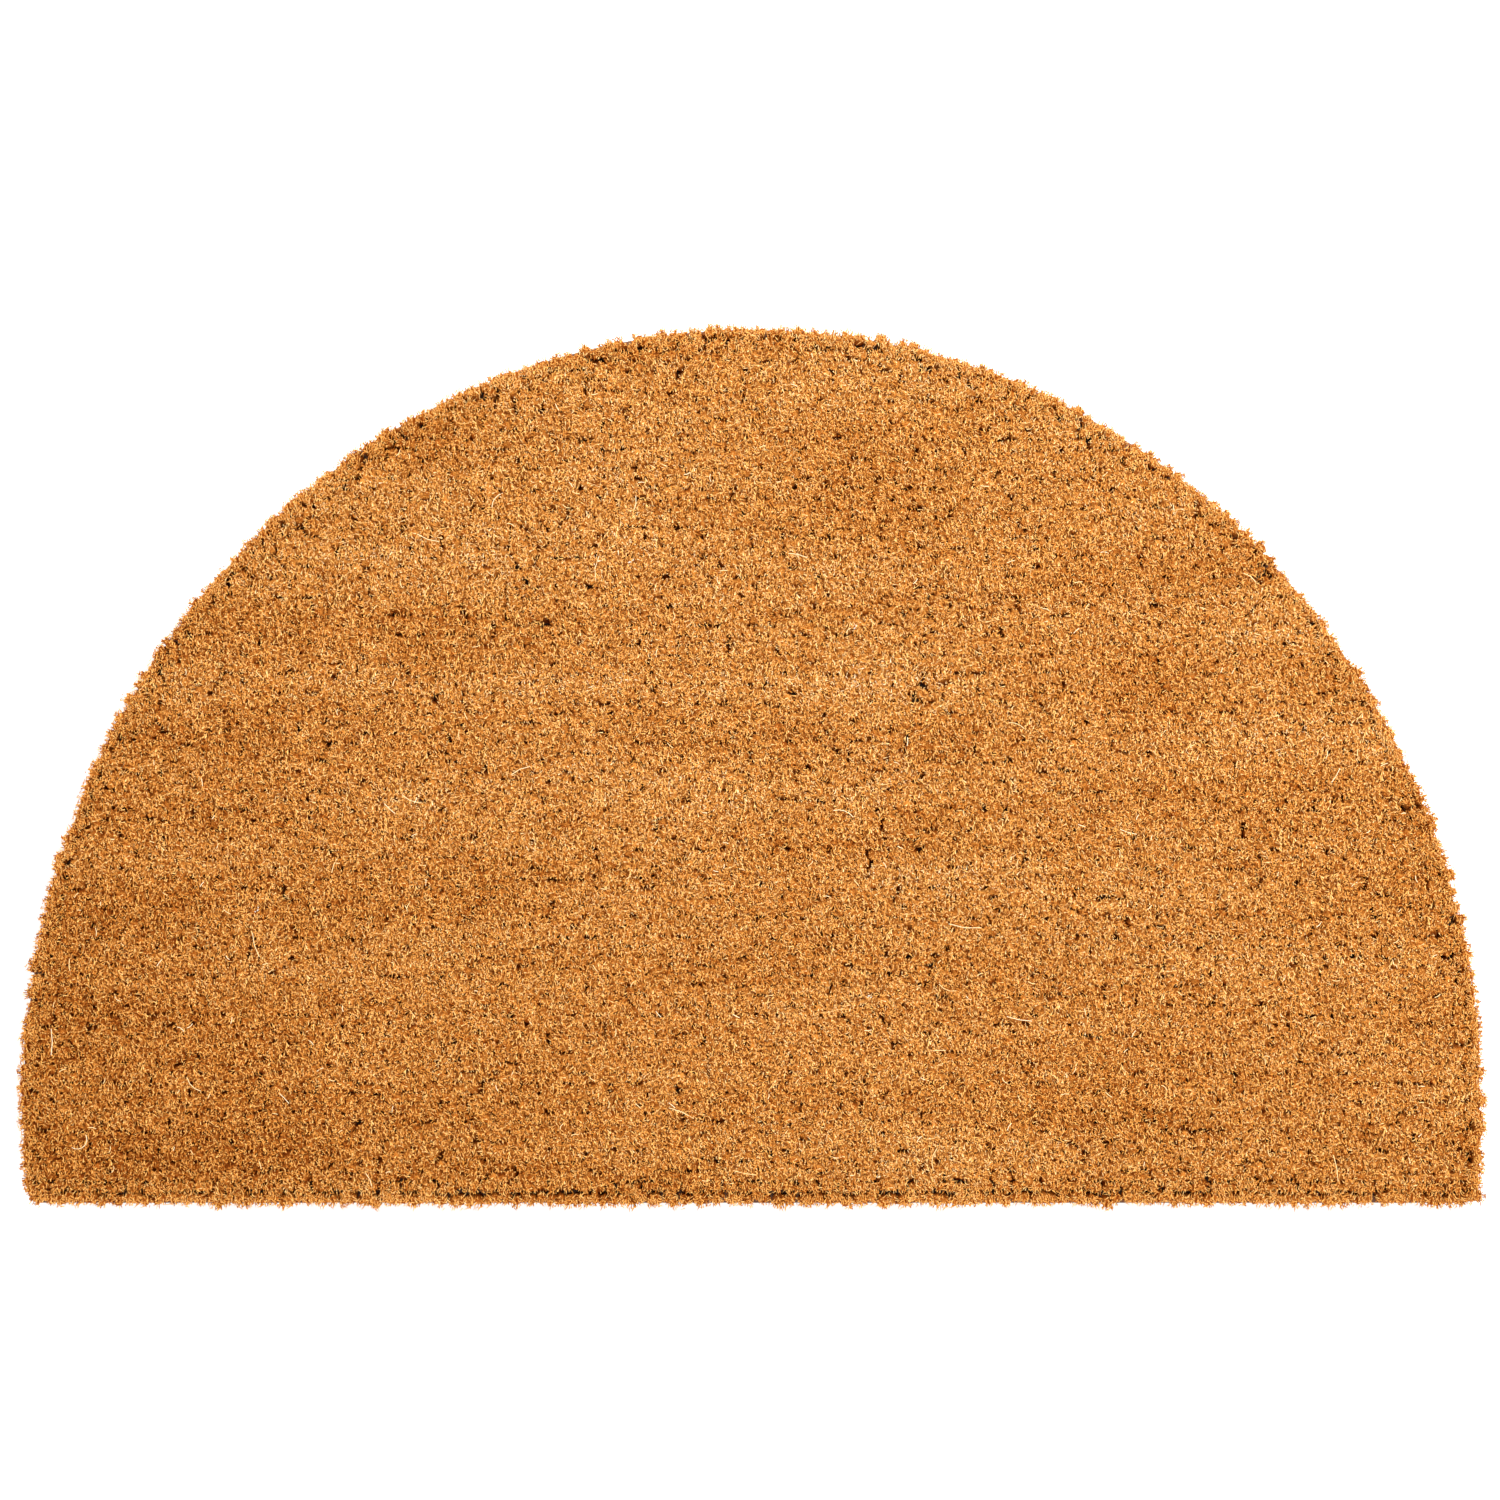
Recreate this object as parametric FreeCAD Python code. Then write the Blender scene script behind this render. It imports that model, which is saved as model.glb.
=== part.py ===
# Half-moon door mat: rows of coir tufts standing in a PVC backing. Millimetres, +Z up.
# The origin is the middle of the mat's outline box, on the underside of the backing. X runs along
# the straight edge, which is on the -Y side and lies against the door sill.
import FreeCAD, Part

import math
import os

# Outline
mat_width = 750.0           # across the mat at its widest
mat_depth = 450.0           # from the straight edge to the top of the arc
widest_from_front = 50.0    # the arc is at its widest this far behind the straight edge
corner_radius = 6.0         # where the arc meets the straight edge

# PVC backing
backing_thickness = 3.0
root_depth = 1.8            # how deep the tufts stand in the backing
root_clearance = 0.0        # the PVC cures against the fibres, so nothing is left between them

# Coir pile
pile_height = 12.0          # above the backing
row_pitch = 5.0             # from one row of tufts to the next
row_gap = 0.3               # between the brushed-out sides of two rows
root_width = 3.0            # a row where it is gripped by the backing
flare_height = 5.0          # above the backing, where a row reaches its full width
crown_bevel = 1.0           # along the sheared top edges of a row
rows_per_node = 2           # neighbouring rows that share one file, each its own solid

# Worked out from the sizes above
front_y = -mat_depth / 2
widest_y = front_y + widest_from_front
mat_height = backing_thickness + pile_height
row_width = row_pitch - row_gap
row_count = int(mat_depth // row_pitch)
first_row_y = (1 - row_count) * row_pitch / 2
root_z = backing_thickness - root_depth
touch = 1e-6                # two places this near are the same place


def outline_block(height):
    """The half-moon outline as a solid from the floor up to height."""
    centre = FreeCAD.Vector(0, widest_y, 0)
    half_width = mat_width / 2
    reach = mat_depth - widest_from_front
    side = FreeCAD.Vector(half_width, 0, 0)
    back = FreeCAD.Vector(0, reach, 0)
    longer, shorter = sorted((side, back), key=lambda v: v.Length, reverse=True)
    ellipse = Part.Ellipse(centre + longer, centre + shorter, centre)
    corner_x = half_width * math.sqrt(1 - (widest_from_front / reach) ** 2)
    right = FreeCAD.Vector(corner_x, front_y, 0)
    left = FreeCAD.Vector(-corner_x, front_y, 0)
    ends = (ellipse.parameter(right), ellipse.parameter(left))
    if ellipse.Axis.z < 0:
        ends = ends[::-1]
    arch = Part.ArcOfEllipse(ellipse, *ends).toShape()
    front = Part.LineSegment(left, right).toShape()
    block = Part.Face(Part.Wire([arch, front])).extrude(FreeCAD.Vector(0, 0, height))
    if block.Volume < 0:
        block.reverse()
    corners = [edge for edge in block.Edges if is_front_corner(edge)]
    return solid_of(block.makeFillet(corner_radius, corners))


def is_front_corner(edge):
    """True for the two upright edges where the arc meets the straight edge."""
    ends = [vertex.Point for vertex in edge.Vertexes]
    at_front = all(abs(end.y - front_y) < touch for end in ends)
    upright = len(ends) == 2 and abs(ends[0].x - ends[1].x) < touch
    return at_front and upright


def solid_of(shape):
    """The one solid that a boolean or a fillet left in a compound."""
    assert len(shape.Solids) == 1
    return shape.Solids[0]


def row_bar(y, room=0.0):
    """A row of tufts as a straight bar along X: pinched at its roots, brushed out above, sheared flat.

    room is added all round, for the groove that the row stands in.
    """
    root = root_width / 2 + room
    full = row_width / 2 + room
    bottom = root_z - room
    flare_z = backing_thickness + flare_height
    side_top = mat_height - crown_bevel
    crown = full - crown_bevel
    right_side = [(root, bottom), (full, flare_z), (full, side_top), (crown, mat_height)]
    left_side = [(-across, z) for across, z in reversed(right_side)]
    corners = [FreeCAD.Vector(-mat_width, y + across, z) for across, z in right_side + left_side]
    section = Part.Face(Part.makePolygon(corners + corners[:1]))
    bar = section.extrude(FreeCAD.Vector(2 * mat_width, 0, 0))
    if bar.Volume < 0:
        bar.reverse()
    return bar


def row_places():
    """The Y of each row's middle, from the straight edge to the top of the arc."""
    return [first_row_y + index * row_pitch for index in range(row_count)]


def backing():
    """The PVC sheet, with a groove where each row of roots is gripped."""
    sheet = outline_block(backing_thickness)
    grooves = [row_bar(y, root_clearance) for y in row_places()]
    return solid_of(sheet.cut(grooves))


def tuft_row(y, block):
    """One row of tufts, cut off at its ends along the mat's outline."""
    return solid_of(row_bar(y).common(block))


def save(name, shape):
    """Writes one node, after checking that it is sound."""
    assert shape.isValid() and shape.Volume > 0, name
    shape.exportStep(os.path.join("parts", name + ".step"))
    print(f"{name}: {len(shape.Solids)} solid(s), {shape.Volume / 1000:.1f} cm3")


def main():
    os.makedirs("parts", exist_ok=True)
    save("pvc_backing", backing())
    block = outline_block(mat_height)
    places = row_places()
    for number, start in enumerate(range(0, row_count, rows_per_node), 1):
        rows = [tuft_row(y, block) for y in places[start:start + rows_per_node]]
        save(f"tuft_rows_{number:02d}", Part.makeCompound(rows))


main()
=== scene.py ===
import math

import bmesh
import bpy
import numpy as np
from mathutils import Matrix, Vector, noise


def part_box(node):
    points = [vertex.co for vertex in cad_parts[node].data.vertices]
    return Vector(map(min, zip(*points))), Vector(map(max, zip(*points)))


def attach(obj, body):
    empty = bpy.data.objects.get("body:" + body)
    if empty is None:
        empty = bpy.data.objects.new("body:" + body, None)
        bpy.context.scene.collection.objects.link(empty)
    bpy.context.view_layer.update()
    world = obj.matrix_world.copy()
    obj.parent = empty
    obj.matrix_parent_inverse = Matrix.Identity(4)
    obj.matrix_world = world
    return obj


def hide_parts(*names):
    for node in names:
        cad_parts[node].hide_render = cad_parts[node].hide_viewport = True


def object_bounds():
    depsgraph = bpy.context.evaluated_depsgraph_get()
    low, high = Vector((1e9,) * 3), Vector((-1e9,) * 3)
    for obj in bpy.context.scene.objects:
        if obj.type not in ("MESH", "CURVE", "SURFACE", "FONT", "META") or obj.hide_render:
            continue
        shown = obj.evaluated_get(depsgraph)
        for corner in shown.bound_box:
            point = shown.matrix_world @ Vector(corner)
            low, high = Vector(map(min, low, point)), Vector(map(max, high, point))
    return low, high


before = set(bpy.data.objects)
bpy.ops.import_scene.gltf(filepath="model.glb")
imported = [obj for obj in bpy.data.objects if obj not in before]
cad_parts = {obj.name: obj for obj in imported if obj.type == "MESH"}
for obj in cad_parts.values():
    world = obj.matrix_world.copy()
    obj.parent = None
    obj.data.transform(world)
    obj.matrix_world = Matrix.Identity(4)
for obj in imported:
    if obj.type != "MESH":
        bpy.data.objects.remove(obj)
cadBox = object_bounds()
sheetLow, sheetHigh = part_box("pvc_backing")
pileTop = cadBox[1][2]
pileHeight = pileTop - sheetHigh.z
print("frame loaded:", len(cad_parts), "nodes")


# outline

outline = {
    "width": sheetHigh.x - sheetLow.x,
    "depth": sheetHigh.y - sheetLow.y,
    "widestFromFront": 0.050,  # the arc is at its widest this far behind the straight edge
    "cornerRadius": 0.006,
    "segments": 240,
    "walkSteps": 4000,  # how finely its length is walked to space the edge tufts
}
halfWidth = outline["width"] / 2
reach = outline["depth"] - outline["widestFromFront"]
frontY = sheetLow.y
widestY = frontY + outline["widestFromFront"]


def edgeDistance(x, y):
    # how far inside the outline a place is, and the way out to the nearest edge
    slope = Vector((x / halfWidth ** 2, (y - widestY) / reach ** 2))
    level = (x / halfWidth) ** 2 + ((y - widestY) / reach) ** 2
    toArc = (1 - level) / (2 * max(slope.length, 1e-6))
    toFront = y - frontY
    if toFront < toArc:
        return toFront, Vector((0, -1))
    return toArc, slope.normalized()


def edgePlaces(spacing, inset):
    # places along the whole outline, a little inside it, evenly spaced
    steps = outline["walkSteps"]
    lowest = math.asin(-outline["widestFromFront"] / reach)
    path = []
    for step in range(steps + 1):
        turn = lowest + (math.pi - 2 * lowest) * step / steps
        path.append(Vector((halfWidth * math.cos(turn), widestY + reach * math.sin(turn))))
    cornerX = path[0].x
    for step in range(1, steps):
        path.append(Vector((-cornerX + 2 * cornerX * step / steps, frontY)))
    places, walked = [], 0.0
    for here, there in zip(path, path[1:]):
        walked += (there - here).length
        if walked >= spacing:
            walked -= spacing
            out = edgeDistance(there.x, there.y)[1]
            places.append(there - out * inset)
    return places


# materials

class Wire:
    # one shader socket, so that maths on it reads as an expression
    def __init__(self, tree, socket=None):
        self.tree = tree
        self.socket = socket

    def node(self, kind, settings=None, values=None, out=0):
        made = self.tree.nodes.new(kind)
        for name, value in (settings or {}).items():
            if name == "stops":
                setStops(made.color_ramp, value)
            else:
                setattr(made, name, value)
        for name, value in (values or {}).items():
            if isinstance(value, Wire):
                self.tree.links.new(value.socket, made.inputs[name])
            else:
                made.inputs[name].default_value = value
        return Wire(self.tree, made.outputs[out])

    def maths(self, operation, first, second):
        return self.node("ShaderNodeMath", {"operation": operation}, {0: first, 1: second})

    def __add__(self, other):
        return self.maths("ADD", self, other)

    def __radd__(self, other):
        return self.maths("ADD", other, self)

    def __sub__(self, other):
        return self.maths("SUBTRACT", self, other)

    def __rsub__(self, other):
        return self.maths("SUBTRACT", other, self)

    def __mul__(self, other):
        return self.maths("MULTIPLY", self, other)

    def __rmul__(self, other):
        return self.maths("MULTIPLY", other, self)


def setStops(ramp, stops):
    while len(ramp.elements) < len(stops):
        ramp.elements.new(0.5)
    for element, (place, colour) in zip(ramp.elements, stops):
        element.position = place
        element.color = colour


def paint(red, green, blue):
    # a colour as a screen shows it, made linear
    parts = [part / 255 for part in (red, green, blue)]
    return tuple(((p + 0.055) / 1.055) ** 2.4 if p > 0.04 else p / 12.92 for p in parts) + (1.0,)


def newMaterial(name, roughness, specular):
    material = bpy.data.materials.new(name)
    material.use_nodes = True
    shader = material.node_tree.nodes["Principled BSDF"]
    shader.inputs["Roughness"].default_value = roughness
    shader.inputs["Specular IOR Level"].default_value = specular
    return material, shader, Wire(material.node_tree)


def mixColours(wire, share, low, high):
    return wire.node("ShaderNodeMix", {"data_type": "RGBA"}, {0: share, 6: low, 7: high}, 2)


coirLook = {
    "tones": [
        (0.00, paint(118, 52, 10)),
        (0.18, paint(178, 98, 28)),
        (0.36, paint(216, 143, 60)),
        (0.55, paint(236, 171, 86)),
        (0.75, paint(249, 196, 115)),
        (0.90, paint(253, 217, 154)),
        (1.00, paint(255, 238, 206)),
    ],
    # painted shade: low in the pile, where shade falls between the tufts, the fibres are mixed towards this
    # dark brown
    "paintedRootShade": paint(104, 40, 5),
    "rootShare": 0.92,  # how much of the painted root shade shows low down
    "rootShadeFrom": (0.56, 0.98),  # shares of the pile height where the painted shade is full, and where it ends
    "roughness": 0.70,
    "specular": 0.04,
}


def coirMaterial():
    # tone runs along U of the fibres' own map, root to cut end along V
    material, shader, wire = newMaterial("coir_fibre", coirLook["roughness"], coirLook["specular"])
    spot = wire.node("ShaderNodeUVMap", {"uv_map": "OFBake"})
    tone = wire.node("ShaderNodeSeparateXYZ", {}, {0: spot}, 0)
    height = wire.node("ShaderNodeSeparateXYZ", {}, {0: spot}, 1)
    colour = wire.node("ShaderNodeValToRGB", {"stops": coirLook["tones"]}, {0: tone})
    # painted shade: the colour darkens towards the roots, low in the pile
    low, high = coirLook["rootShadeFrom"]
    depth = wire.node(
        "ShaderNodeMapRange", {}, {0: height, 1: low, 2: high, 3: coirLook["rootShare"], 4: 0.0}
    )
    mixed = mixColours(wire, depth, colour, coirLook["paintedRootShade"])
    wire.tree.links.new(mixed.socket, shader.inputs["Base Color"])
    return material


pvcLook = {
    "dustAndShade": paint(120, 66, 26),  # fibre dust set into the top face between the roots, together with painted shade under the pile
    "dustAndShadeShare": 0.85,
    "dustAndShadeFrom": (0.80, 0.97),  # shares of the sheet's thickness over which the dust and the painted shade come in
    "light": paint(172, 168, 158),
    "dark": paint(136, 131, 120),
    "mottle": (55.0, 5.0),  # scale and detail
    "grain": (900.0, 2.0),
    "mottleShare": 0.8,
    "grainShare": 0.2,
    "grainStrength": 0.25,
    "grainDepth": 0.0003,
    "roughness": (0.45, 0.25),  # the least, and what the mottle adds
    "specular": 0.4,
}


def pvcMaterial():
    least, added = pvcLook["roughness"]
    material, shader, wire = newMaterial("pvc_sheet", least, pvcLook["specular"])
    place = wire.node("ShaderNodeTexCoord", {}, {}, 3)

    def clouds(scale, detail):
        return wire.node("ShaderNodeTexNoise", {}, {"Vector": place, "Scale": scale, "Detail": detail})

    mottle = clouds(*pvcLook["mottle"])
    grain = clouds(*pvcLook["grain"])
    share = mottle * pvcLook["mottleShare"] + grain * pvcLook["grainShare"]
    colour = mixColours(wire, share, pvcLook["dark"], pvcLook["light"])
    # the top of the sheet, under the pile, is mixed towards brown: fibre dust and painted shade
    height = wire.node("ShaderNodeSeparateXYZ", {}, {0: place}, 2)
    low, high = [part * sheetHigh.z for part in pvcLook["dustAndShadeFrom"]]
    dustAndShadeMask = wire.node("ShaderNodeMapRange", {}, {0: height, 1: low, 2: high, 3: 0.0, 4: pvcLook["dustAndShadeShare"]})
    colour = mixColours(wire, dustAndShadeMask, colour, pvcLook["dustAndShade"])
    bump = wire.node("ShaderNodeBump", {}, {
        "Strength": pvcLook["grainStrength"], "Distance": pvcLook["grainDepth"], "Height": grain,
    })
    wire.tree.links.new(colour.socket, shader.inputs["Base Color"])
    wire.tree.links.new((least + mottle * added).socket, shader.inputs["Roughness"])
    wire.tree.links.new(bump.socket, shader.inputs["Normal"])
    return material


coir = coirMaterial()
pvc = pvcMaterial()
print("materials made")


def finishPiece(bm, name, material):
    mesh = bpy.data.meshes.new(name)
    bm.to_mesh(mesh)
    bm.free()
    mesh.materials.append(material)
    mesh.shade_flat()
    piece = bpy.data.objects.new(name, mesh)
    bpy.context.scene.collection.objects.link(piece)
    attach(piece, "root")
    return piece


# backing sheet

sheetLook = {
    "cornerSegments": 5,
    "frontCuts": 150,  # so that the straight edge wanders too
    "rimBevel": 0.0004,
    "rimSegments": 2,
    "raggedness": 0.00025,  # the cut edge wanders this much
    "raggedScale": 90.0,
    "tolerance": 0.00001,
}


def backingSheet():
    bm = bmesh.new()
    made = bmesh.ops.create_circle(bm, cap_ends=True, segments=outline["segments"], radius=1)
    bmesh.ops.scale(bm, vec=(halfWidth, reach, 1), verts=made["verts"])
    bmesh.ops.translate(bm, vec=(0, widestY, sheetLow.z), verts=made["verts"])
    bmesh.ops.bisect_plane(
        bm, geom=bm.verts[:] + bm.edges[:] + bm.faces[:],
        plane_co=(0, frontY, 0), plane_no=(0, -1, 0), clear_outer=True,
    )
    corners = [v for v in bm.verts if v.co.y < frontY + sheetLook["tolerance"]]
    bmesh.ops.bevel(
        bm, geom=corners, affect="VERTICES", offset=outline["cornerRadius"], offset_type="OFFSET",
        segments=sheetLook["cornerSegments"], profile=0.5, material=-1,
    )
    front = [e for e in bm.edges if e.calc_length() > halfWidth]
    bmesh.ops.subdivide_edges(bm, edges=front, cuts=sheetLook["frontCuts"])
    for vert in bm.verts:
        wander = noise.noise(vert.co * sheetLook["raggedScale"]) * sheetLook["raggedness"]
        out = edgeDistance(vert.co.x, vert.co.y)[1]
        vert.co.xy -= out * (abs(wander) + sheetLook["rimBevel"])
    floor = bm.faces[:]
    raised = bmesh.ops.extrude_face_region(bm, geom=floor)
    upper = [part for part in raised["geom"] if isinstance(part, bmesh.types.BMVert)]
    bmesh.ops.translate(bm, vec=(0, 0, sheetHigh.z - sheetLow.z), verts=upper)
    bmesh.ops.recalc_face_normals(bm, faces=bm.faces[:])
    rims = [e for e in bm.edges if abs(e.verts[0].co.z - e.verts[1].co.z) < sheetLook["tolerance"]]
    bmesh.ops.bevel(
        bm, geom=rims, affect="EDGES", offset=sheetLook["rimBevel"], offset_type="OFFSET",
        segments=sheetLook["rimSegments"], profile=0.5, material=-1,
    )
    area = sum(f.calc_area() for f in bm.faces if f.normal.z < -0.9)  # its flat underside
    return finishPiece(bm, "backing_sheet", pvc), area


backing, sheetArea = backingSheet()
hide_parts("pvc_backing")
print(f"backing made, {sheetArea:.4f} square metres")


# tufts

tuftLook = {
    "seed": 41,
    "rings": [(0.0032, 0.0), (0.0043, 0.42), (0.0027, 0.78)],  # radius, share of the pile height
    "crown": 0.82,
    "sides": 6,
    "lump": (0.0005, 0.0005, 0.0008),  # how far the matted yarn under the fibre ends is out of true
    "lumpFrom": 0.3,  # share of the pile height above which it is
    "yarnShadeTone": (0.31, 0.07),  # the middle and the spread of the yarn's tones, kept darker than the fibres' as painted shade between the fibre ends
    "yarnShadeRange": (0.16, 0.6),
    "fibreWidth": (0.00050, 0.00084),
    "fibreTone": (0.53, 0.21),
    "fibreRange": (0.20, 0.82),
    "heightSpread": 0.0004,
}
fieldTuft = {
    "templates": 28,
    "girth": 1.0,
    "rim": 0.0040,
    "dome": 0.0005,  # a tuft's rim stands this much below its middle
    "sideFibres": 0,
    "rootShadeSpan": None,
}
edgeTuft = {
    "templates": 10,
    "girth": 0.76,
    "rim": 0.0034,
    "dome": 0.0011,
    "sideFibres": 8,
    "rootShadeSpan": (0.60, 0.975),  # the part of the height map that an edge tuft uses, so that its painted root shade stays light
}
draw = np.random.default_rng(tuftLook["seed"])

fibreMap = {
    "patch": 0.003,  # radius of a face's own patch
    "level": 0.02,  # a face that spans less of the pile's height than this lies level
    "lowest": 0.01,
    "span": 0.975,
}


def mapFaces(bm, faces, tone):
    # gives each face of a fibre its own small patch of the tone map
    layer = bm.loops.layers.uv.verify()
    for face in faces:
        heights = [min(max(loop.vert.co.z / pileHeight, 0.0), 1.0) for loop in face.loops]
        level = max(heights) - min(heights) < fibreMap["level"]
        for index, (loop, height) in enumerate(zip(face.loops, heights)):
            turn = 2 * math.pi * index / len(face.loops)
            across = fibreMap["patch"] * math.cos(turn)
            along = fibreMap["patch"] * math.sin(turn) if level else 0.0
            loop[layer].uv = (tone + across, fibreMap["lowest"] + fibreMap["span"] * height + along)


def facesJoined(vert):
    # every face of the loose part that a vertex belongs to
    found, waiting = set(), [vert]
    while waiting:
        for face in waiting.pop().link_faces:
            if face not in found:
                found.add(face)
                waiting.extend(face.verts)
    return list(found)


def addFibre(bm, root, end, width, tone):
    # a straight fibre, pointed at its root and blunt at its cut end
    axis = end - root
    made = bmesh.ops.create_cone(
        bm, cap_ends=True, segments=3, radius1=0, radius2=width / 2, depth=axis.length
    )
    spin = Matrix.Rotation(draw.uniform(0, 2 * math.pi), 4, "Z")
    aim = axis.to_track_quat("Z", "Y").to_matrix().to_4x4()
    bmesh.ops.transform(bm, matrix=Matrix.Translation((root + end) / 2) @ aim @ spin, verts=made["verts"])
    mapFaces(bm, facesJoined(made["verts"][0]), tone)


def addArc(bm, place, length, bend, width, tone, steps):
    # a curved fibre that starts along Z at the origin and bends towards X, then is put in place
    made = bmesh.ops.create_circle(bm, cap_ends=True, segments=3, radius=width / 2)
    start = made["verts"][0]
    bmesh.ops.spin(
        bm, geom=start.link_faces[:], cent=(length / bend, 0, 0), axis=(0, 1, 0), angle=bend, steps=steps,
    )
    faces = facesJoined(start)
    bmesh.ops.transform(bm, matrix=place, verts=list({vert for face in faces for vert in face.verts}))
    bmesh.ops.recalc_face_normals(bm, faces=faces)
    mapFaces(bm, faces, tone)


def fibreTone():
    return float(np.clip(draw.normal(*tuftLook["fibreTone"]), *tuftLook["fibreRange"]))


def fibreWidth():
    return float(draw.uniform(*tuftLook["fibreWidth"]))


def onDisc(radius, inner=0.0):
    away = radius * math.sqrt(draw.uniform(inner, 1))
    turn = draw.uniform(0, 2 * math.pi)
    return Vector((away * math.cos(turn), away * math.sin(turn)))


def atHeight(spot, height):
    return Vector((spot.x, spot.y, height))


def topAt(spot, kind):
    # the height that a fibre at this spot of a tuft is cut at
    sunk = kind["dome"] * (spot.length / kind["rim"]) ** 2
    return pileHeight - sunk + draw.normal(0, tuftLook["heightSpread"])


def mattedYarn(bm, girth):
    # the yarn's own body: pinched at the root, opened out above, uneven all over
    radius = tuftLook["rings"][0][0] * girth
    bmesh.ops.create_circle(bm, cap_ends=True, segments=tuftLook["sides"], radius=radius)
    top = bm.faces[:]
    for ringRadius, share in tuftLook["rings"][1:]:
        nextRadius = ringRadius * girth
        grown = bmesh.ops.extrude_face_region(bm, geom=top)["geom"]
        top = [part for part in grown if isinstance(part, bmesh.types.BMFace)]
        ring = top[0].verts[:]
        bmesh.ops.scale(bm, vec=(nextRadius / radius, nextRadius / radius, 1), verts=ring)
        bmesh.ops.translate(bm, vec=(0, 0, pileHeight * share - ring[0].co.z), verts=ring)
        radius = nextRadius
    middle = bmesh.ops.poke(bm, faces=top)["verts"][0]
    middle.co.z = pileHeight * tuftLook["crown"]
    for vert in bm.verts:
        if vert.co.z > pileHeight * tuftLook["lumpFrom"]:
            vert.co += Vector([draw.normal(0, spread) for spread in tuftLook["lump"]])
    bmesh.ops.recalc_face_normals(bm, faces=bm.faces[:])
    # the yarn's darker tones are painted shade between the fibre ends
    for face in bm.faces:
        tone = np.clip(draw.normal(*tuftLook["yarnShadeTone"]), *tuftLook["yarnShadeRange"])
        mapFaces(bm, [face], float(tone))


splayLook = {
    "count": 17,
    "rootShare": (0.2, 0.6),  # how far out its lower end is, as a share of its tip's distance
    "drop": (0.0018, 0.0034),
}


def splayedFibre(bm, kind):
    # leans outwards from the middle of the tuft
    spot = onDisc(kind["rim"])
    rootSpot = spot * draw.uniform(*splayLook["rootShare"])
    start = atHeight(rootSpot, topAt(spot, kind) - draw.uniform(*splayLook["drop"]))
    end = atHeight(spot, topAt(spot, kind))
    addFibre(bm, start, end, fibreWidth(), fibreTone())


crossLook = {
    "count": 14,
    "rimShare": 0.95,
    "turnSpread": 0.7,
    "length": (0.0016, 0.0034),
    "drop": (0.0005, 0.0012),
    "sunk": 0.0001,
    "paler": 0.02,
}


def crossingFibre(bm, kind):
    # lies nearly flat on the tuft, more or less across the rows
    spot = onDisc(kind["rim"] * crossLook["rimShare"])
    turn = math.radians(90) * draw.choice((-1, 1)) + draw.normal(0, crossLook["turnSpread"])
    away = Vector((math.cos(turn), math.sin(turn))) * draw.uniform(*crossLook["length"])
    start = atHeight(spot - away, topAt(spot, kind) - draw.uniform(*crossLook["drop"]))
    end = atHeight(spot, topAt(spot, kind) - crossLook["sunk"])
    addFibre(bm, start, end, fibreWidth(), fibreTone() + crossLook["paler"])


sideLook = {
    "innermost": 0.3,
    "lowEnd": (0.0, 0.1),  # share of the pile height
    "rootShare": 0.5,
}


def sideFibre(bm, kind):
    # runs the full height, where a tuft's side shows
    spot = onDisc(kind["rim"], sideLook["innermost"])
    start = atHeight(spot * sideLook["rootShare"], pileHeight * draw.uniform(*sideLook["lowEnd"]))
    end = atHeight(spot, topAt(spot, kind))
    addFibre(bm, start, end, fibreWidth(), fibreTone())


curlLook = {
    "chance": 0.35,
    "rimShare": 0.6,
    "height": 0.72,  # share of the pile height
    "length": (0.0038, 0.0046),
    "bend": (1.3, 1.6),
    "thinner": 0.8,
    "paler": 0.12,
    "palest": 0.83,
    "steps": 2,
}


def curledFibre(bm, kind):
    # bends over at the top of the tuft
    start = atHeight(onDisc(kind["rim"] * curlLook["rimShare"]), pileHeight * curlLook["height"])
    place = Matrix.Translation(start) @ Matrix.Rotation(draw.uniform(0, 2 * math.pi), 4, "Z")
    length = draw.uniform(*curlLook["length"])
    bend = draw.uniform(*curlLook["bend"])
    width = fibreWidth() * curlLook["thinner"]
    tone = min(curlLook["palest"], fibreTone() + curlLook["paler"])
    addArc(bm, place, length, bend, width, tone, curlLook["steps"])


def tuftTemplate(name, kind):
    bm = bmesh.new()
    mattedYarn(bm, kind["girth"])
    for _ in range(splayLook["count"]):
        splayedFibre(bm, kind)
    for _ in range(crossLook["count"]):
        crossingFibre(bm, kind)
    for _ in range(kind["sideFibres"]):
        sideFibre(bm, kind)
    if draw.uniform() < curlLook["chance"]:
        curledFibre(bm, kind)
    if kind["rootShadeSpan"]:
        # seen from the side, so the painted root shade stays light
        low, high = kind["rootShadeSpan"]
        layer = bm.loops.layers.uv.verify()
        for loop in [loop for face in bm.faces for loop in face.loops]:
            loop[layer].uv.y = low + (high - low) * loop[layer].uv.y
    mesh = bpy.data.meshes.new(name)
    bm.to_mesh(mesh)
    bm.free()
    coords = np.empty(len(mesh.vertices) * 3, np.float32)
    mesh.vertices.foreach_get("co", coords)
    return {"mesh": mesh, "coords": coords, "loops": len(mesh.loops)}


templates = [tuftTemplate(f"tuft_{n}", fieldTuft) for n in range(fieldTuft["templates"])]
edgeTemplates = [tuftTemplate(f"edge_tuft_{n}", edgeTuft) for n in range(edgeTuft["templates"])]
print("tuft templates made:", len(templates[0]["mesh"].polygons), "faces each")


# where the tufts stand

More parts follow.
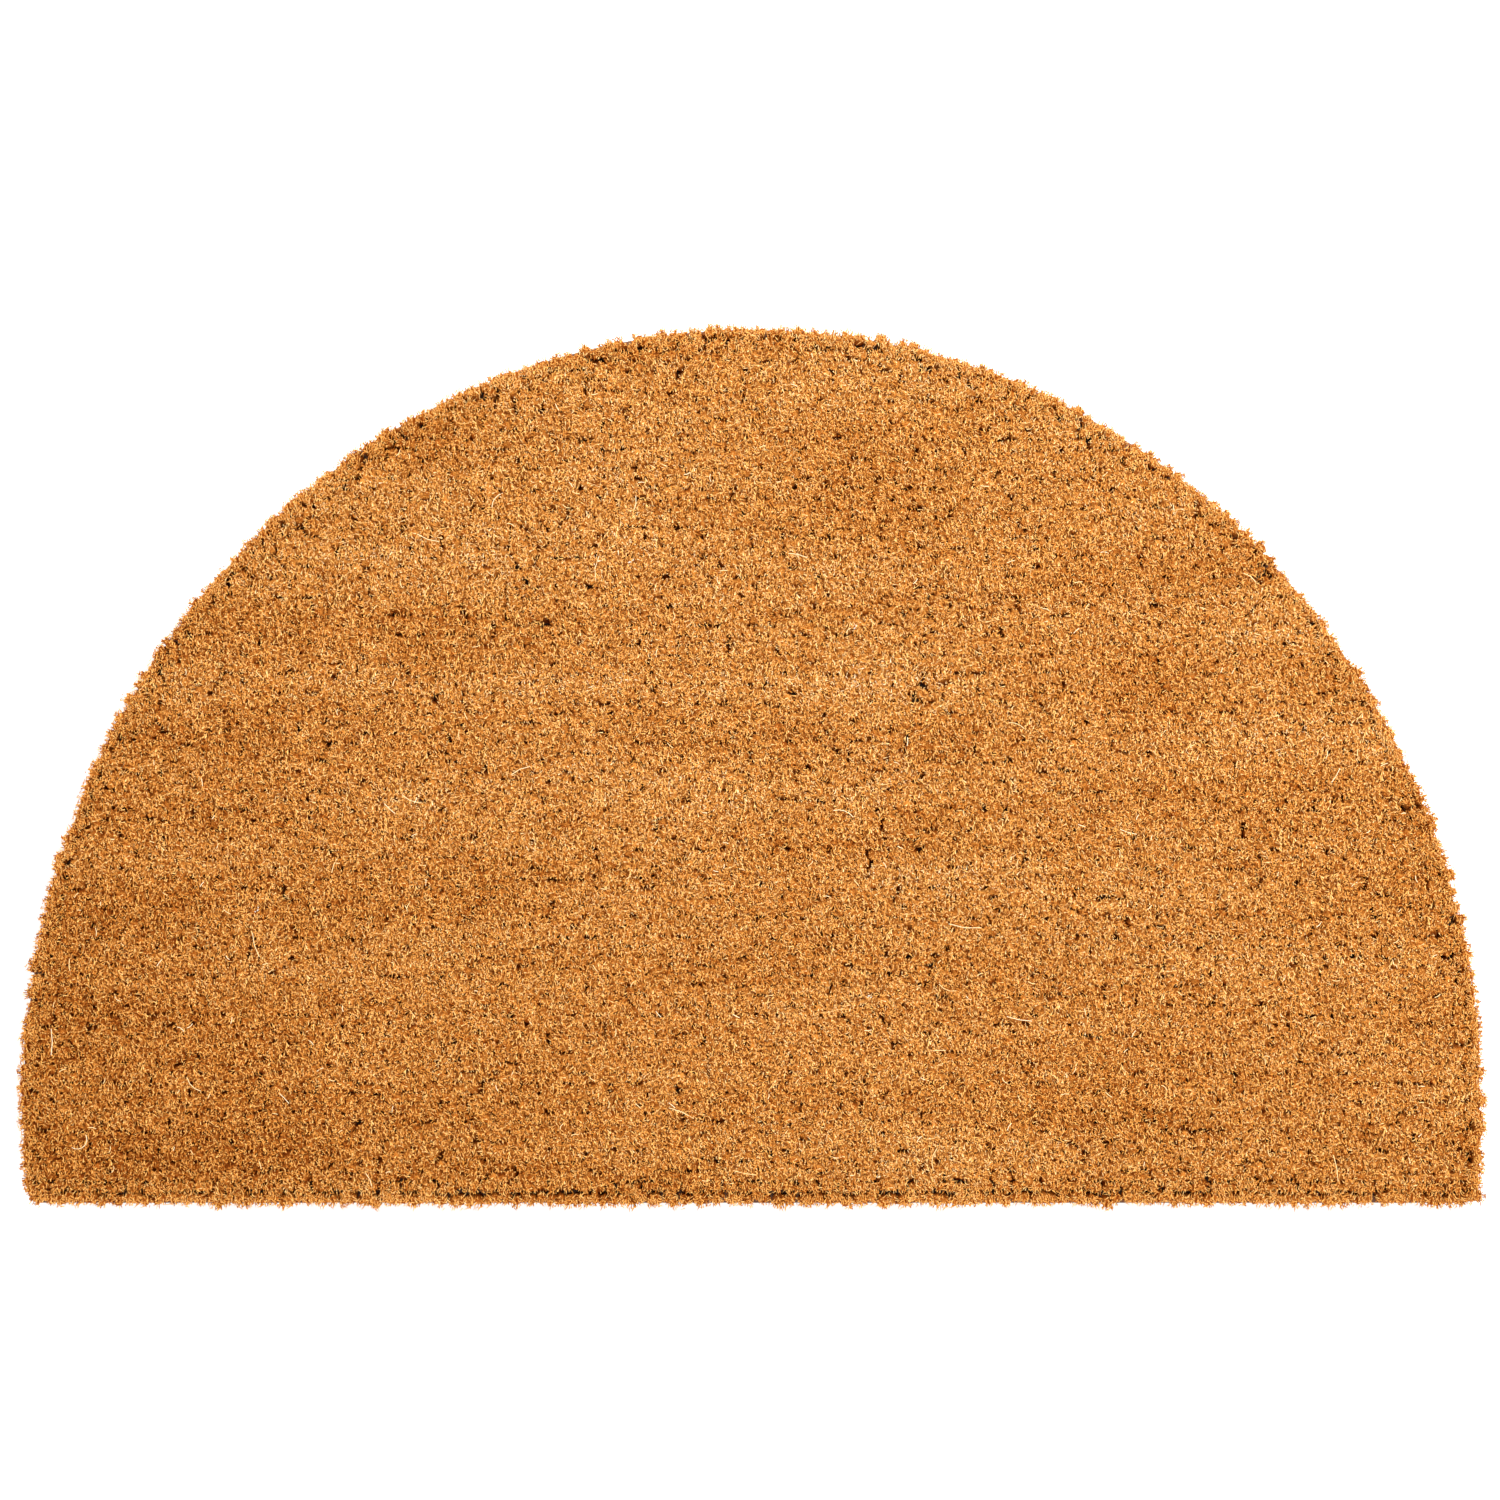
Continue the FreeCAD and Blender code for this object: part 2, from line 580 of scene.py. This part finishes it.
plan = {
    "seed": 7,
    "pitch": 0.005,  # along a row and from row to row
    "jitter": 0.0006,
    "bare": (0.0875, 0.0335),  # one tuft is missing here
    "bareRadius": 0.0028,
    "edgePitch": 0.0046,
    "edgeJitter": 0.0007,
    "edgeInset": 0.0039,
    "edgeKeep": 0.0055,  # row tufts nearer to the edge than this give way to the edge tufts
    "depthShare": 0.998,
    # side, how far its tufts stand in, over what length
    "corners": [(-1, 0.0040, 0.026), (1, 0.0022, 0.010)],
    "cornerFall": 1.5,
    "cornerRise": 0.4,  # how far they stand back, as a share of how far they stand in
    "leanSpread": 0.026,
    "edgeLean": math.radians(10),
    "leanFade": 0.014,
    "driftLean": math.radians(7),  # how far the pile leans one way or another across the mat
    "driftScale": (11.0, 36.0),
    "driftLayer": 8.0,
    "heightScale": 60,
    "heightLayer": 4.0,
    "heightDrift": 0.045,
    "heightSpread": 0.018,
    "girth": (0.92, 1.1),
    "turnSpread": 0.35,
    "toneSpread": 0.022,
    "edgeShade": 0.055,  # how much darker the tone of the edge tufts is
    "toneLimit": 0.15,
    "rowsPerPiece": 6,
}
scatter = np.random.default_rng(plan["seed"])
frontCornerX = halfWidth * math.sqrt(1 - (outline["widestFromFront"] / reach) ** 2)

toneAndLightDrift = {
    "base": 0.03,
    "waves": [  # scales along and across the rows, layer of the noise, strength
        (3.5, 34.0, 2.0, 0.098),
        (8.0, 85.0, 5.0, 0.064),
        (22.0, 22.0, 9.0, 0.030),
    ],
    "middle": (0.06, 0.07),  # painted pool of light: the tone falls off from here
    "paintedLightFallOff": (0.46, 0.34, 0.055),  # painted light falls off over these distances, by this much
    # painted shade at the front left
    "frontLeftShade": 0.08,
}


def toneAndPaintedLight(x, y):
    # the slow drift of tone over the mat: streaks along the rows, soft patches; and painted light, paler in
    # the middle, with painted shade at the front left
    tone = toneAndLightDrift["base"]
    for alongScale, acrossScale, layer, strength in toneAndLightDrift["waves"]:
        tone += noise.noise(Vector((x * alongScale, y * acrossScale, layer))) * strength
    litMiddleX, litMiddleY = toneAndLightDrift["middle"]
    overX, overY, amount = toneAndLightDrift["paintedLightFallOff"]
    # painted pool of light: paler in the middle, darker outwards
    tone -= amount * math.hypot((x - litMiddleX) / overX, (y - litMiddleY) / overY) ** 2
    # painted shade: darker towards the front left corner
    corner = max(0.0, -x / halfWidth) * max(0.0, 0.5 - y / outline["depth"])
    return tone - toneAndLightDrift["frontLeftShade"] * corner


def tuftPlace(x, y, atEdge):
    distance, out = edgeDistance(x, y)
    fade = math.exp(-max(0.0, distance - plan["edgeInset"]) / plan["leanFade"])
    alongScale, acrossScale = plan["driftScale"]
    drift = noise.noise_vector(Vector((x * alongScale, y * acrossScale, plan["driftLayer"]))).xy
    lean = out * plan["edgeLean"] * fade + drift * plan["driftLean"]
    lean += Vector((scatter.normal(0, plan["leanSpread"]), scatter.normal(0, plan["leanSpread"])))
    rise = noise.noise(Vector((x * plan["heightScale"], y * plan["heightScale"], plan["heightLayer"])))
    height = 1 + plan["heightDrift"] * rise + scatter.normal(0, plan["heightSpread"])
    width = scatter.uniform(*plan["girth"])
    axis = Vector((-lean.y, lean.x, 0))
    place = Matrix.Translation((x, y, sheetHigh.z)) @ Matrix.Rotation(lean.length, 4, axis)
    turn = math.pi * scatter.integers(2) + scatter.normal(0, plan["turnSpread"])
    place = place @ Matrix.Rotation(turn, 4, "Z") @ Matrix.Diagonal((width, width, height, 1))
    tone = toneAndPaintedLight(x, y) + scatter.normal(0, plan["toneSpread"]) - plan["edgeShade"] * atEdge
    kinds = edgeTemplates if atEdge else templates
    return {
        "y": y, "place": place, "tone": max(-plan["toneLimit"], min(plan["toneLimit"], tone)),
        "template": kinds[int(scatter.integers(len(kinds)))],
    }


def roundedIn(x, y):
    # tufts near a front corner stand in from it
    y *= plan["depthShare"]
    for side, inward, length in plan["corners"]:
        away = (Vector((x, y)) - Vector((side * frontCornerX, frontY))).length
        near = max(0.0, 1 - away / length) ** plan["cornerFall"]
        x -= side * inward * near
        y += inward * near * plan["cornerRise"]
    return x, y


def allTufts():
    tufts = []
    rowCount = int(outline["depth"] // plan["pitch"])
    perRow = int(outline["width"] / plan["pitch"])
    bareX, bareY = plan["bare"]
    for row in range(rowCount):
        rowY = (2 * row + 1 - rowCount) * plan["pitch"] / 2
        shift = scatter.uniform(0, plan["pitch"])
        for index in range(perRow + 1):
            x = -halfWidth + shift + index * plan["pitch"] + scatter.normal(0, plan["jitter"])
            y = rowY + scatter.normal(0, plan["jitter"])
            distance = edgeDistance(x, y)[0]
            if distance < plan["edgeKeep"] or math.hypot(x - bareX, y - bareY) < plan["bareRadius"]:
                continue
            tufts.append(tuftPlace(*roundedIn(x, y), distance < plan["edgeKeep"] + plan["pitch"]))
    for spot in edgePlaces(plan["edgePitch"], plan["edgeInset"]):
        x = spot.x + scatter.normal(0, plan["edgeJitter"])
        y = spot.y + scatter.normal(0, plan["edgeJitter"])
        tufts.append(tuftPlace(*roundedIn(x, y), True))
    return tufts


def growPiece(name, tufts):
    # copies of the templates in one mesh, each with its own shift of tone
    bm = bmesh.new()
    for tuft in tufts:
        mesh = tuft["template"]["mesh"]
        mesh.transform(tuft["place"])
        bm.from_mesh(mesh)
        mesh.vertices.foreach_set("co", tuft["template"]["coords"])
    piece = finishPiece(bm, name, coir)
    loops = [tuft["template"]["loops"] for tuft in tufts]
    spots = np.empty(sum(loops) * 2, np.float32)
    layer = piece.data.uv_layers[0]
    layer.name = "OFBake"
    layer.uv.foreach_get("vector", spots)
    spots[0::2] += np.repeat([tuft["tone"] for tuft in tufts], loops)
    layer.uv.foreach_set("vector", spots)
    return piece


tufts = allTufts()
bandDepth = plan["rowsPerPiece"] * plan["pitch"]
bandCount = round(outline["depth"] / bandDepth)
nodeNames = sorted(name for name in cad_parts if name.startswith("tuft_rows"))
nodesPerPiece = len(nodeNames) // bandCount


def bandOf(tuft):
    return min(bandCount - 1, max(0, int((tuft["y"] - frontY) // bandDepth)))


pile = []
for band in range(bandCount):
    piece = growPiece(f"coir_rows_{band + 1:02d}", [tuft for tuft in tufts if bandOf(tuft) == band])
    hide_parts(*nodeNames[band * nodesPerPiece:(band + 1) * nodesPerPiece])
    pile.append(piece)
triangles = sum(sum(len(p.vertices) - 2 for p in piece.data.polygons) for piece in pile)
print(f"pile made: {len(tufts)} tufts, {triangles} triangles")


# loose fibres that lie on the pile

strayLook = {
    "seed": 19,
    "width": 0.00038,
    "placed": [  # x, y, length, bend, turn
        (-0.3405, -0.1885, 0.013, 2.6, 3.6),
        (0.0023, -0.2090, 0.012, 0.25, 1.5),
        (0.1175, -0.0825, 0.017, 0.5, 1.7),
    ],
    "scattered": [(260, (0.0020, 0.0045)), (26, (0.007, 0.014))],  # how many, and how long
    "bend": (0.15, 1.3),
    "edgeMargin": 0.012,
    "lift": 0.0001,
    "tilt": 0.04,
    "tone": (0.86, 0.96),
    "stepsPerBend": 3,
}


def strayFibres():
    pick = np.random.default_rng(strayLook["seed"])
    bm = bmesh.new()

    def lay(x, y, length, bend, turn):
        # an arc on its side, resting on the tips
        flat = Matrix.Rotation(math.radians(-90) + pick.normal(0, strayLook["tilt"]), 4, "X")
        spot = Matrix.Translation((x, y, pileTop + strayLook["lift"]))
        steps = max(2, round(bend * strayLook["stepsPerBend"]))
        place = spot @ Matrix.Rotation(turn, 4, "Z") @ flat
        addArc(bm, place, length, bend, strayLook["width"], pick.uniform(*strayLook["tone"]), steps)

    for placed in strayLook["placed"]:
        lay(*placed)
    for count, lengths in strayLook["scattered"]:
        done = 0
        while done < count:
            x = pick.uniform(-halfWidth, halfWidth)
            y = pick.uniform(frontY, frontY + outline["depth"])
            if edgeDistance(x, y)[0] < strayLook["edgeMargin"]:
                continue
            lay(x, y, pick.uniform(*lengths), pick.uniform(*strayLook["bend"]), pick.uniform(0, 2 * math.pi))
            done += 1
    piece = finishPiece(bm, "stray_fibres", coir)
    piece.data.uv_layers[0].name = "OFBake"
    return piece


# specks of PVC on the pile

fleckLook = {
    "seed": 20,
    "spots": [
        (-0.2535, -0.0735), (0.0600, -0.1170), (0.0550, 0.0720), (-0.0620, 0.1050), (0.0180, 0.2235),
        (0.0450, 0.2215),
    ],
    "perSpot": 3,
    "size": 0.0011,
    "sizeSpread": (0.5, 1.1),
    "scatter": 0.0009,
    "sunk": 0.0003,
    "turn": (0, 3),
    "shape": (1.3, 0.8, 0.6),
    "colour": paint(212, 204, 190),
    "roughness": 0.6,
    "specular": 0.3,
}


def pvcFlecks():
    pick = np.random.default_rng(fleckLook["seed"])
    bm = bmesh.new()
    for x, y in [spot for spot in fleckLook["spots"] for _ in range(fleckLook["perSpot"])]:
        size = fleckLook["size"] * pick.uniform(*fleckLook["sizeSpread"])
        made = bmesh.ops.create_icosphere(bm, subdivisions=1, radius=size / 2)
        spotX = x + pick.normal(0, fleckLook["scatter"])
        spotY = y + pick.normal(0, fleckLook["scatter"])
        place = Matrix.Translation((spotX, spotY, pileTop - fleckLook["sunk"]))
        place = place @ Matrix.Rotation(pick.uniform(*fleckLook["turn"]), 4, "Z")
        place = place @ Matrix.Diagonal((*fleckLook["shape"], 1))
        bmesh.ops.transform(bm, matrix=place, verts=made["verts"])
    material, shader, _ = newMaterial("pvc_fleck", fleckLook["roughness"], fleckLook["specular"])
    shader.inputs["Base Color"].default_value = fleckLook["colour"]
    return finishPiece(bm, "pvc_flecks", material)


strays = strayFibres()
flecks = pvcFlecks()
print("stray fibres and flecks made")


# floor, light and camera

room = {
    "floorSize": 4.0,
    "floorDrop": 0.0001,
    "floorColour": paint(246, 246, 245),
    "floorRoughness": 0.8,
    "floorSpecular": 0.2,
    "floorGlow": 0.35,
    "skyColour": paint(250, 250, 252),
    "skyStrength": 1.20,
    "keyPlace": (0.9, 1.1, 1.7),
    "keySize": 0.9,
    "keyPower": 45.0,
    "cameraHeight": 2.2,
    "framed": 0.7673,  # width of what the camera sees at the pile's top
    "cameraX": -0.0008,
    "cameraY": 0.0084,
    "sensor": 36.0,
    "clipEnd": 50,
}


def makeFloor():
    bm = bmesh.new()
    bmesh.ops.create_grid(bm, x_segments=1, y_segments=1, size=room["floorSize"])
    bmesh.ops.translate(bm, vec=(0, 0, -room["floorDrop"]), verts=bm.verts[:])
    mesh = bpy.data.meshes.new("floor")
    bm.to_mesh(mesh)
    bm.free()
    material, shader, _ = newMaterial("floor", room["floorRoughness"], room["floorSpecular"])
    shader.inputs["Base Color"].default_value = room["floorColour"]
    shader.inputs["Emission Color"].default_value = room["floorColour"]
    shader.inputs["Emission Strength"].default_value = room["floorGlow"]
    mesh.materials.append(material)
    floor = bpy.data.objects.new("floor", mesh)
    bpy.context.scene.collection.objects.link(floor)


def makeLight():
    world = bpy.data.worlds.new("studio")
    world.use_nodes = True
    sky = world.node_tree.nodes["Background"]
    sky.inputs["Color"].default_value = room["skyColour"]
    sky.inputs["Strength"].default_value = room["skyStrength"]
    bpy.context.scene.world = world
    data = bpy.data.lights.new("key", "AREA")
    data.shape = "DISK"
    data.size = room["keySize"]
    data.energy = room["keyPower"]
    key = bpy.data.objects.new("key", data)
    key.location = room["keyPlace"]
    key.rotation_euler = (-Vector(room["keyPlace"])).to_track_quat("-Z", "Y").to_euler()
    bpy.context.scene.collection.objects.link(key)


def makeCamera():
    data = bpy.data.cameras.new("camera")
    data.sensor_width = room["sensor"]
    data.lens = room["sensor"] * (room["cameraHeight"] - pileTop) / room["framed"]
    data.clip_end = room["clipEnd"]
    camera = bpy.data.objects.new("camera", data)
    camera.location = (room["cameraX"], room["cameraY"], room["cameraHeight"])
    bpy.context.scene.collection.objects.link(camera)
    bpy.context.scene.camera = camera


makeFloor()
makeLight()
makeCamera()
bpy.context.scene.view_settings.view_transform = "Standard"
print("floor, light and camera made")

for template in templates + edgeTemplates:
    bpy.data.meshes.remove(template["mesh"])
